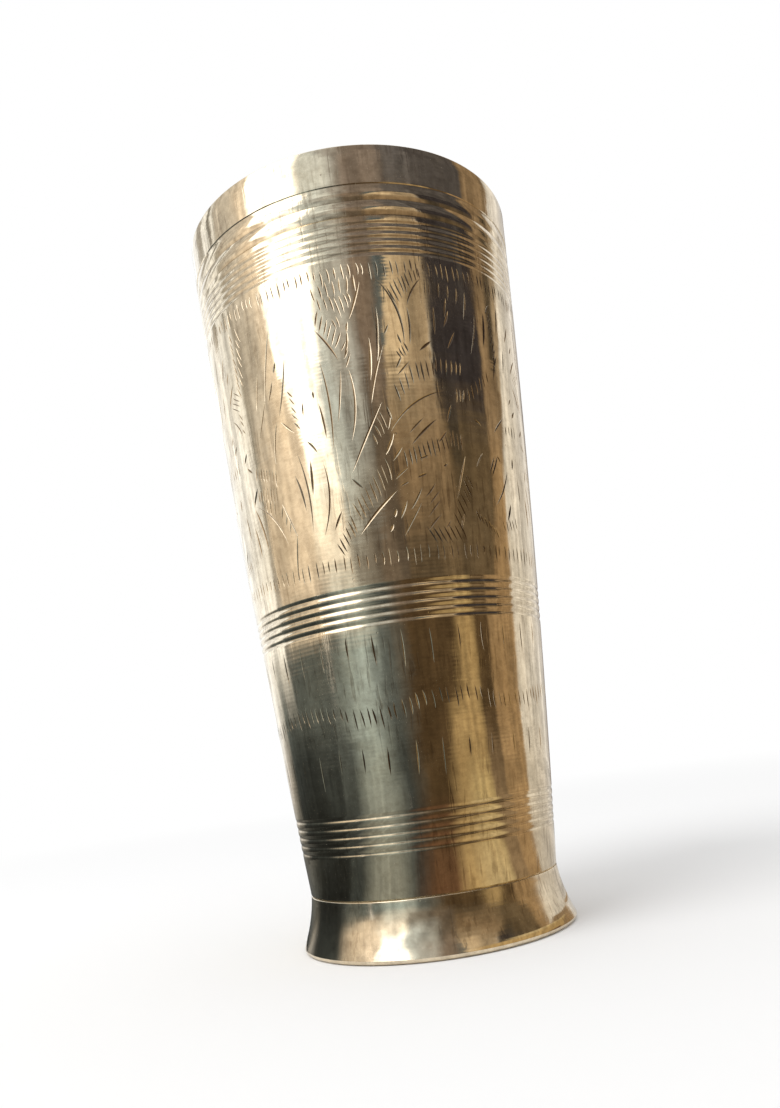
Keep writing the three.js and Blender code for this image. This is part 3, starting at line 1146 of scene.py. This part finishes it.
class TUMBLER_OT_floor(bpy.types.Operator):
    """Make the floor disc of the cup"""

    bl_idname = "tumbler.make_floor"
    bl_label = "Floor"

    def execute(self, context):
        edge = FLOOR_HIGH.x
        count = math.ceil(edge / INSIDE_STEP)
        radii = [edge * i / count for i in range(count + 1)]
        rings = [Ring(radius, FLOOR_LOW.z) for radius in radii]
        rings += [Ring(radius, FLOOR_HIGH.z) for radius in reversed(radii)]
        skin = Skin()
        turn(skin, rings, closed=False)
        piece = skin.build("cup_floor", faced_bronze_painted_glow(context.scene.tumbler_finish))
        settle(piece, "floor_disc")
        return {"FINISHED"}


class TUMBLER_OT_braze(bpy.types.Operator):
    """Make the braze ring at the neck and the braze fillet on the floor"""

    bl_idname = "tumbler.make_braze"
    bl_label = "Braze"

    def execute(self, context):
        sizes = context.scene.tumbler_wall
        wall = WallShape(sizes)
        braze = wiped_braze(context.scene.tumbler_finish)
        seat = seat_radius(sizes)
        seam = Skin()
        outer = SEAM_HIGH.x
        corners = ((seat, SEAM_LOW.z), (outer, SEAM_LOW.z), (outer, SEAM_HIGH.z), (seat, SEAM_HIGH.z))
        turn(seam, [Ring(radius, height) for radius, height in corners])
        settle(seam.build("seam_braze", braze), "foot_braze")

        bottom, top = FILLET_LOW.z, FILLET_HIGH.z
        corner = (FLOOR_HIGH.x, bottom)
        upper_end = (wall.inside(top) - sizes.joint_gap, top)
        lower_end = (FLOOR_HIGH.x - sizes.fillet_width, bottom)
        fillet = Skin()
        turn(fillet, [Ring(*corner), *bezier(upper_end, corner, lower_end)])
        settle(fillet.build("floor_fillet", braze), "floor_braze")
        return {"FINISHED"}


# Stage

# Tones of the glowing cards, as linear colours of the light that each gives off
WHITE = Vector((1.0, 1.0, 1.0))
LAMP = Vector((2.8, 2.8, 2.8))
SOFT_LAMP = Vector((1.60, 1.58, 1.50))
BRIGHT = Vector((1.20, 1.24, 1.28))
CREAM = Vector((1.26, 1.19, 1.08))
PEACH = Vector((0.84, 0.74, 0.62))
GLOW = Vector((1.20, 1.06, 0.90))
PALE_STONE = Vector((0.84, 0.82, 0.79))
STONE = Vector((0.68, 0.65, 0.61))
PALE_GREY = Vector((0.86, 0.95, 1.00))
HAZE = Vector((0.79, 0.90, 0.96))
DIM_STONE = Vector((0.52, 0.50, 0.46))
GREY = Vector((0.36, 0.355, 0.33))
PALE_SLATE = Vector((0.46, 0.56, 0.575))
MID_SLATE = Vector((0.27, 0.28, 0.25))
SLATE = Vector((0.13, 0.155, 0.16))
DEEP_SLATE = Vector((0.050, 0.060, 0.064))
INK = Vector((0.10, 0.125, 0.14))
SOOT = Vector((0.020, 0.022, 0.022))
BROWN = Vector((0.25, 0.20, 0.165))
UMBER = Vector((0.17, 0.137, 0.107))
DARK_UMBER = Vector((0.085, 0.068, 0.046))
LOW_BROWN = Vector((0.096, 0.064, 0.034))
RUST_BROWN = Vector((0.150, 0.080, 0.045))
LOW_TAN = Vector((0.46, 0.335, 0.168))
WARM_TAN = Vector((0.50, 0.39, 0.20))
PALE_TAN = Vector((0.58, 0.47, 0.28))
BRIGHT_TAN = Vector((0.86, 0.70, 0.49))
TAN = Vector((0.42, 0.335, 0.232))
DULL_TAN = Vector((0.31, 0.225, 0.14))
OLIVE = Vector((0.155, 0.115, 0.070))
OCHRE = Vector((0.42, 0.29, 0.16))
PALE_DUSK = Vector((0.26, 0.222, 0.205))
DUSK = Vector((0.150, 0.143, 0.150))
SMOKE = Vector((0.105, 0.098, 0.101))
CHARCOAL = Vector((0.050, 0.045, 0.050))

# Cards round the tumbler that its polish mirrors. Each glows with its own tone as light and is seen only in
# the metal's reflections; none lights the tumbler or the floor. A card runs in over the floor and up: a
# place on it is metres up, or below 0 in along the floor. Its first edge has an angle at each place and is
# soft over some degrees, below 0 for a card that runs the other way round. Its last edge lies behind the
# next card. A card with a fade thins out over that many metres under its upper end.
CARD_RADIUS = 0.60
NEAR_RADIUS = 0.13
NEAR_FADE = 0.03
SHADE_FADE = 0.10
Card = namedtuple("Card", "name edge last softness tones radius fade", defaults=(CARD_RADIUS, 0.0))

# Both ends of a full card, its columns, and the degrees that it runs on past its last edge
CARD_TOP = 1.2
CARD_IN = -0.565
CARD_COLUMNS = 24
CARD_OVERLAP = 10

# Steps up and in from one card to the next
CARD_LIFT = 0.00015
CARD_LAYER = 0.003

# How far a card's soft edge wanders, how close its folds are, and the light of its folds and clouds, which
# are noise about one half and come out near 1
EDGE_WANDER = 1.4
FOLDS_PER_DEGREE = 0.3
FOLD_LIGHT, FOLD_SHADE = 0.9, 0.55
CLOUD_LIGHT, CLOUD_SHADE = 1.5, 0.25


def upright(turned):
    """A card's edge that stays at one angle."""
    return ((CARD_IN, turned), (CARD_TOP, turned))


NEAR_TONES = ((0.0, SOOT), (0.03, DEEP_SLATE), (0.045, SLATE), (0.075, SLATE))
WING_TONES = ((CARD_IN, DEEP_SLATE), (-0.3, GREY), (0.0, STONE), (0.06, BRIGHT), (CARD_TOP, BRIGHT))
CARDS = (
    Card("near_left", upright(-124), -118, 20, NEAR_TONES, NEAR_RADIUS, NEAR_FADE),
    Card("near_right", upright(-80), -126, -14, NEAR_TONES, NEAR_RADIUS, NEAR_FADE),
    Card("left_wing", upright(-176), -105, 6, WING_TONES),
    Card("left_shade", upright(-112), -100, 26, (
        (CARD_IN, SOOT), (-0.40, DEEP_SLATE), (-0.10, SLATE), (0.0, SLATE),
    ), CARD_RADIUS, SHADE_FADE),
    Card("rim_line", ((0.40, -126), (0.50, -132)), -130, 4, (
        (0.40, STONE), (0.43, DIM_STONE), (CARD_TOP, DIM_STONE),
    )),
    Card("left_line", ((0.10, -104), (0.24, -98), (0.357, -99), (0.415, -101)), -92, 3, (
        (CARD_IN, SOOT), (0.05, SLATE), (0.12, STONE), (0.22, GREY), (0.32, DIM_STONE),
        (CARD_TOP, STONE),
    )),
    Card("thin_line", ((0.40, -108), (0.50, -110)), -115, 2, (
        (0.40, STONE), (0.43, GREY), (CARD_TOP, GREY),
    )),
    Card("left_card", ((0.10, -97), (0.24, -93), (0.357, -93), (0.415, -98)), -70, 4, (
        (CARD_IN, SOOT), (-0.40, DEEP_SLATE), (0.05, SLATE), (0.12, PEACH), (0.22, PEACH), (0.30, STONE),
        (CARD_TOP, STONE),
    )),
    Card("left_glow", upright(-73), -50, 18, (
        (0.08, PEACH), (0.20, GLOW), (0.45, GLOW), (CARD_TOP, GLOW),
    )),
    Card("key_box", (
        (-0.10, -64), (0.10, -56), (0.226, -50), (0.272, -56.5), (0.333, -63), (0.38, -66),
    ), -20, 3, (
        (CARD_IN, DEEP_SLATE), (-0.25, SLATE), (0.05, SLATE), (0.12, GLOW), (0.14, CREAM),
        (0.185, SOFT_LAMP), (0.24, LAMP), (CARD_TOP, LAMP),
    )),
    Card("low_card", ((-0.35, -45), (-0.1, -50)), -20, 16, (
        (CARD_IN, MID_SLATE), (-0.3, PALE_SLATE), (0.03, PALE_SLATE), (0.14, CREAM),
    )),
    Card("low_flag", ((CARD_IN, -14), (-0.45, -18), (-0.355, -23)), 4, 13, (
        (CARD_IN, DEEP_SLATE), (-0.1, SLATE), (0.04, SLATE), (0.14, GREY),
    )),
    Card("grey_flag", (
        (0.08, -24), (0.17, -28), (0.24, -34), (0.272, -33), (0.30, -31), (0.415, -28),
    ), 0, 5, (
        (0.08, GREY), (0.12, GREY), (0.16, HAZE), (0.26, HAZE), (0.33, PALE_GREY),
        (CARD_TOP, PALE_GREY),
    )),
    Card("brown_flag", ((0.08, -17), (0.17, -14), (0.25, -13), (0.415, -12), (0.46, -9)), 30, 26, (
        (0.08, UMBER), (0.22, UMBER), (0.30, BROWN), (0.42, BROWN), (0.46, PALE_DUSK),
        (CARD_TOP, PALE_DUSK),
    )),
    Card("brown_low", ((CARD_IN, -7), (-0.45, -3)), 52, 18, (
        (CARD_IN, RUST_BROWN), (-0.45, LOW_BROWN), (0.08, LOW_BROWN),
    )),
    Card("ink_strip", ((0.27, 11), (0.333, 12), (0.415, 14)), 34, 5, (
        (0.27, BROWN), (0.32, INK), (0.43, INK),
    )),
    Card("tan_card", (
        (0.08, 13), (0.24, 12), (0.295, 14), (0.31, 16), (0.333, 17), (0.357, 20), (0.38, 23.5),
        (0.40, 26), (0.43, 28),
    ), 48, 2.5, (
        (0.08, DARK_UMBER), (0.15, DULL_TAN), (0.20, DULL_TAN), (0.26, TAN), (0.30, BRIGHT_TAN),
        (0.41, BRIGHT_TAN), (0.43, UMBER), (0.45, DUSK), (CARD_TOP, DUSK),
    )),
    Card("dull_card", upright(31), 50, 13, (
        (0.08, OLIVE), (0.22, DULL_TAN), (0.30, TAN), (0.41, TAN), (0.43, UMBER), (0.45, DUSK),
        (CARD_TOP, DUSK),
    )),
    Card("tan_low", ((CARD_IN, 17), (-0.40, 26), (-0.2, 34), (0.03, 43)), 60, 10, (
        (CARD_IN, LOW_TAN), (0.08, LOW_TAN),
    )),
    Card("tan_strip", ((CARD_IN, 31), (-0.42, 38), (-0.36, 42)), 60, 10, (
        (CARD_IN, PALE_TAN), (-0.45, WARM_TAN), (-0.36, LOW_TAN),
    )),
    Card("pale_line", ((0.25, 47), (0.42, 45.5)), 50, 2, (
        (0.25, TAN), (0.30, STONE), (0.36, TAN), (0.42, STONE),
    )),
    Card("dark_flag", ((0.08, 54), (0.17, 53), (0.26, 48), (0.415, 46.5)), 88, 2, (
        (0.08, OLIVE), (0.22, OLIVE), (0.28, CHARCOAL), (0.42, CHARCOAL), (0.45, SMOKE),
        (CARD_TOP, SMOKE),
    )),
    Card("umber_line", ((0.17, 56), (0.25, 52), (0.28, 50)), 52, 2, (
        (0.15, OLIVE), (0.20, DARK_UMBER), (0.29, CHARCOAL),
    )),
    Card("dark_low", upright(57), 72, 3, ((CARD_IN, DULL_TAN), (-0.2, LOW_BROWN), (0.08, LOW_BROWN))),
    Card("ochre_low", upright(71), 90, 3, ((CARD_IN, OCHRE), (0.08, OCHRE))),
    Card("ochre_card", ((0.08, 80), (0.17, 88), (0.33, 89), (0.42, 87)), 120, 2, (
        (CARD_IN, OCHRE), (0.18, OCHRE), (0.25, DULL_TAN), (0.40, DULL_TAN), (CARD_TOP, OCHRE),
    )),
    Card("smoke_line", upright(75), 69, 4, ((0.32, CHARCOAL), (0.36, SMOKE), (CARD_TOP, SMOKE))),
    Card("dark_strip", ((0.30, 98), (0.42, 100)), 105, 3, ((0.30, DARK_UMBER), (0.43, DARK_UMBER))),
    Card("rust_card", ((0.29, 104), (0.42, 108)), 120, 2, ((0.28, TAN), (0.44, TAN))),
    Card("right_wing", (
        (CARD_IN, 82), (-0.50, 90), (-0.40, 97), (0.0, 98), (0.1, 99), (0.2, 103), (0.31, 110),
        (0.40, 116),
    ), 160, 2.5, (
        (CARD_IN, STONE), (0.0, PALE_STONE), (CARD_TOP, PALE_STONE),
    )),
    Card("back_flag", upright(154), 182, 14, ((CARD_IN, GREY), (0.0, BROWN), (CARD_TOP, BROWN))),
    Card("back_wing", upright(-184), -160, 16, WING_TONES),
)


def along(stops, place):
    """Value at a place, led from one stop to the next."""
    for (low, before), (high, after) in zip(stops, stops[1:]):
        if place <= high:
            break
    part = min(1.0, max(0.0, (place - low) / (high - low)))
    return before + (after - before) * part


def card_material():
    """A card's glow: its tone given off as light, in uneven upright folds and soft clouds, with a soft first
    edge that wanders.
    """
    shader = Shader(bpy.data.materials.new("card"))
    place = shader.place()
    turned = shader.attribute("turned") * FOLDS_PER_DEGREE
    fold_inputs = {"W": turned, "Scale": 1.0, "Detail": 2.0, "Roughness": 0.55}
    folds = shader.node("ShaderNodeTexNoise", {"noise_dimensions": "1D"}, fold_inputs)
    clouds = shader.noise(place, 12.0)
    ragged = (shader.noise(place, 9.0, detail=3.0) - 0.5) * EDGE_WANDER
    edge_inputs = {0: shader.attribute("cover"), 1: ragged}
    edge = shader.node("ShaderNodeMath", {"operation": "ADD", "use_clamp": True}, edge_inputs)
    light = (folds * FOLD_LIGHT + FOLD_SHADE) * (clouds * CLOUD_LIGHT + CLOUD_SHADE)
    tone_inputs = {"Vector": shader.attribute("tone", "Color"), "Scale": light}
    tone = shader.node("ShaderNodeVectorMath", {"operation": "SCALE"}, tone_inputs)
    # The card gives off its tone as light; it is not lit paper
    paper = shader.node("ShaderNodeEmission", None, {"Color": tone, "Strength": 1.0})
    clear = shader.node("ShaderNodeBsdfTransparent")
    material = shader.finish(shader.node("ShaderNodeMixShader", None, {0: edge, 1: clear, 2: paper}))
    material.cycles.emission_sampling = "NONE"
    return material


def sweep_card(card, layer, material):
    """One card swept round the axis, with its tone, its turn and how far it covers at every corner."""
    lowest, highest = card.tones[0][0], card.tones[-1][0]
    places = {0.0, *(place for place, value in card.edge + card.tones)}
    rows = sorted(place for place in places if lowest <= place <= highest)
    reach, lift = card.radius - CARD_LAYER * layer, CARD_LIFT * (1 + layer)
    points, tones, covers, turns, faces = [], [], [], [], []
    for place in rows:
        tone = opaque(along(card.tones, place))
        edge = along(card.edge, place)
        shown = (highest - place) / card.fade if card.fade else math.inf
        distance = reach + min(place, 0.0) * reach / CARD_RADIUS
        first, last = edge - card.softness, card.last + CARD_OVERLAP
        for i in range(CARD_COLUMNS + 1):
            turned = first + (last - first) * i / CARD_COLUMNS
            points.append(around(distance, max(place, lift), math.radians(turned)))
            tones.extend(tone)
            covers.append(min((turned - edge) / card.softness + 0.5, shown))
            turns.append(turned)
    wide = CARD_COLUMNS + 1
    for row in range(len(rows) - 1):
        for i in range(CARD_COLUMNS):
            a = row * wide + i
            faces.append((a, a + 1, a + 1 + wide, a + wide))
    mesh = bpy.data.meshes.new(card.name)
    mesh.from_pydata(points, [], faces)
    mesh.attributes.new("tone", "FLOAT_COLOR", "POINT").data.foreach_set("color", tones)
    mesh.attributes.new("cover", "FLOAT", "POINT").data.foreach_set("value", covers)
    mesh.attributes.new("turned", "FLOAT", "POINT").data.foreach_set("value", turns)
    mesh.materials.append(material)
    paper = bpy.data.objects.new(card.name, mesh)
    bpy.context.scene.collection.objects.link(paper)
    for sight in ("camera", "diffuse", "shadow", "transmission", "volume_scatter"):
        setattr(paper, f"visible_{sight}", False)


def hang_cards():
    """Stands the cards round the tumbler, each a little nearer than the one before."""
    material = card_material()
    for layer, card in enumerate(CARDS):
        sweep_card(card, layer, material)


# The floor's reach, its gap to the foot and its opening, where it begins and ends to turn white, and the
# height of its grain in mm
FLOOR_RADIUS = 6.0
FLOOR_DROP = 0.02 * MM
FLOOR_HOLE = 28.8 * MM
FADE_FROM = 0.10
FADE_TO = 0.8
PAPER_HEIGHT = 0.02

# The soft lamp, and how near and how far the camera sees
KEY_SIZE = 0.7
KEY_PLACE = (-0.55, -0.45, 1.05)
SIGHT_FROM = 0.01
SIGHT_TO = 50


def lay_floor(studio):
    """A wide pale floor, open under the foot, that turns into the white of the room further out."""
    shader = Shader(bpy.data.materials.new("pale_floor"))
    place = shader.place()
    inputs = {0: shader.distance(place), 1: FADE_FROM, 2: FADE_TO, 3: 0.0, 4: 1.0}
    fade = shader.node("ShaderNodeMapRange", {"interpolation_type": "SMOOTHSTEP"}, inputs)
    grain = shader.noise(place, 300.0, detail=3.0)
    paper = {"Color": opaque(studio.floor), "Normal": shader.bump(grain * PAPER_HEIGHT)}
    pale = shader.node("ShaderNodeBsdfDiffuse", None, paper)
    room = shader.node("ShaderNodeEmission", None, {"Color": opaque(WHITE), "Strength": 1.0})
    lit = shader.node("ShaderNodeMixShader", None, {0: fade, 1: pale, 2: room})
    below = shader.node("ShaderNodeNewGeometry", output="Backfacing")
    clear = shader.node("ShaderNodeBsdfTransparent")
    material = shader.finish(shader.node("ShaderNodeMixShader", None, {0: below, 1: lit, 2: clear}))
    material.cycles.emission_sampling = "NONE"
    skin = Skin()
    turn(skin, [Ring(FLOOR_RADIUS, -FLOOR_DROP), Ring(FLOOR_HOLE, -FLOOR_DROP)], closed=False)
    skin.build("floor", material)


def light_room(studio):
    """A white room: full white to the camera and in the metal, softer as light on the floor."""
    world = bpy.data.worlds.new("white_room")
    bpy.context.scene.world = world
    shader = Shader(world)
    rays = ("Is Camera Ray", "Is Glossy Ray", "Is Transmission Ray")
    camera, glossy, transmission = (shader.node("ShaderNodeLightPath", output=ray) for ray in rays)
    inputs = {0: camera + glossy + transmission, 1: 1.0}
    seen = shader.node("ShaderNodeMath", {"operation": "MINIMUM"}, inputs)
    strength = seen * (1 - studio.fill) + studio.fill
    white = shader.node("ShaderNodeBackground", None, {"Color": opaque(WHITE), "Strength": strength})
    shader.finish(white)


def hang_key(studio):
    """A soft lamp above and to the left, for the shadow on the floor."""
    lamp = bpy.data.lights.new("key", "AREA")
    lamp.shape = "DISK"
    lamp.size = KEY_SIZE
    lamp.energy = studio.key_power
    key = bpy.data.objects.new("key", lamp)
    key.location = KEY_PLACE
    key.rotation_euler = (-key.location).to_track_quat("-Z", "Y").to_euler()
    key.visible_glossy = False
    bpy.context.scene.collection.objects.link(key)


def set_camera(studio):
    """The camera in front of the tumbler, looking up a little and turned about its view."""
    lens = bpy.data.cameras.new("camera")
    lens.lens = studio.lens
    lens.clip_start = SIGHT_FROM
    lens.clip_end = SIGHT_TO
    camera = bpy.data.objects.new("camera", lens)
    place = Matrix.Translation((0, -studio.distance, studio.height))
    looks_up = Matrix.Rotation(math.radians(90) + studio.tilt, 4, "X")
    camera.matrix_world = place @ looks_up @ Matrix.Rotation(studio.roll, 4, "Z")
    bpy.context.scene.collection.objects.link(camera)
    bpy.context.scene.camera = camera


class TUMBLER_OT_stage(bpy.types.Operator):
    """Make the floor, the white room, the cards, the lamp and the camera"""

    bl_idname = "tumbler.make_stage"
    bl_label = "Stage"

    def execute(self, context):
        studio = context.scene.tumbler_studio
        context.scene.view_settings.view_transform = "Standard"
        lay_floor(studio)
        light_room(studio)
        hang_cards()
        hang_key(studio)
        set_camera(studio)
        return {"FINISHED"}


SETTINGS = {
    "tumbler_wall": WallSizes,
    "tumbler_bands": BandSizes,
    "tumbler_chasing": ChasingSizes,
    "tumbler_finish": BronzeFinish,
    "tumbler_studio": StudioSizes,
}
OPERATORS = (TUMBLER_OT_wall, TUMBLER_OT_foot, TUMBLER_OT_floor, TUMBLER_OT_braze, TUMBLER_OT_stage)


class TUMBLER_PT_sidebar(bpy.types.Panel):
    """Lists the tumbler's pieces and their sizes"""

    bl_idname = "TUMBLER_PT_sidebar"
    bl_label = "Tumbler"
    bl_space_type = "VIEW_3D"
    bl_region_type = "UI"
    bl_category = "Tumbler"

    def draw(self, context):
        for operator in OPERATORS:
            self.layout.operator(operator.bl_idname)
        for name, group in SETTINGS.items():
            box = self.layout.box()
            box.label(text=group.__doc__)
            for size in group.__annotations__:
                box.prop(getattr(context.scene, name), size)


CLASSES = (*SETTINGS.values(), *OPERATORS, TUMBLER_PT_sidebar)


def register():
    """Adds the settings, the operators and the panel."""
    for made in CLASSES:
        bpy.utils.register_class(made)
    for name, group in SETTINGS.items():
        setattr(bpy.types.Scene, name, PointerProperty(type=group))


def unregister():
    """Takes them away again."""
    for name in SETTINGS:
        delattr(bpy.types.Scene, name)
    for made in reversed(CLASSES):
        bpy.utils.unregister_class(made)


def main():
    """Makes every piece and the stage."""
    register()
    bpy.ops.tumbler.make_wall()
    bpy.ops.tumbler.make_foot()
    bpy.ops.tumbler.make_floor()
    bpy.ops.tumbler.make_braze()
    bpy.ops.tumbler.make_stage()


if __name__ == "__main__":
    main()
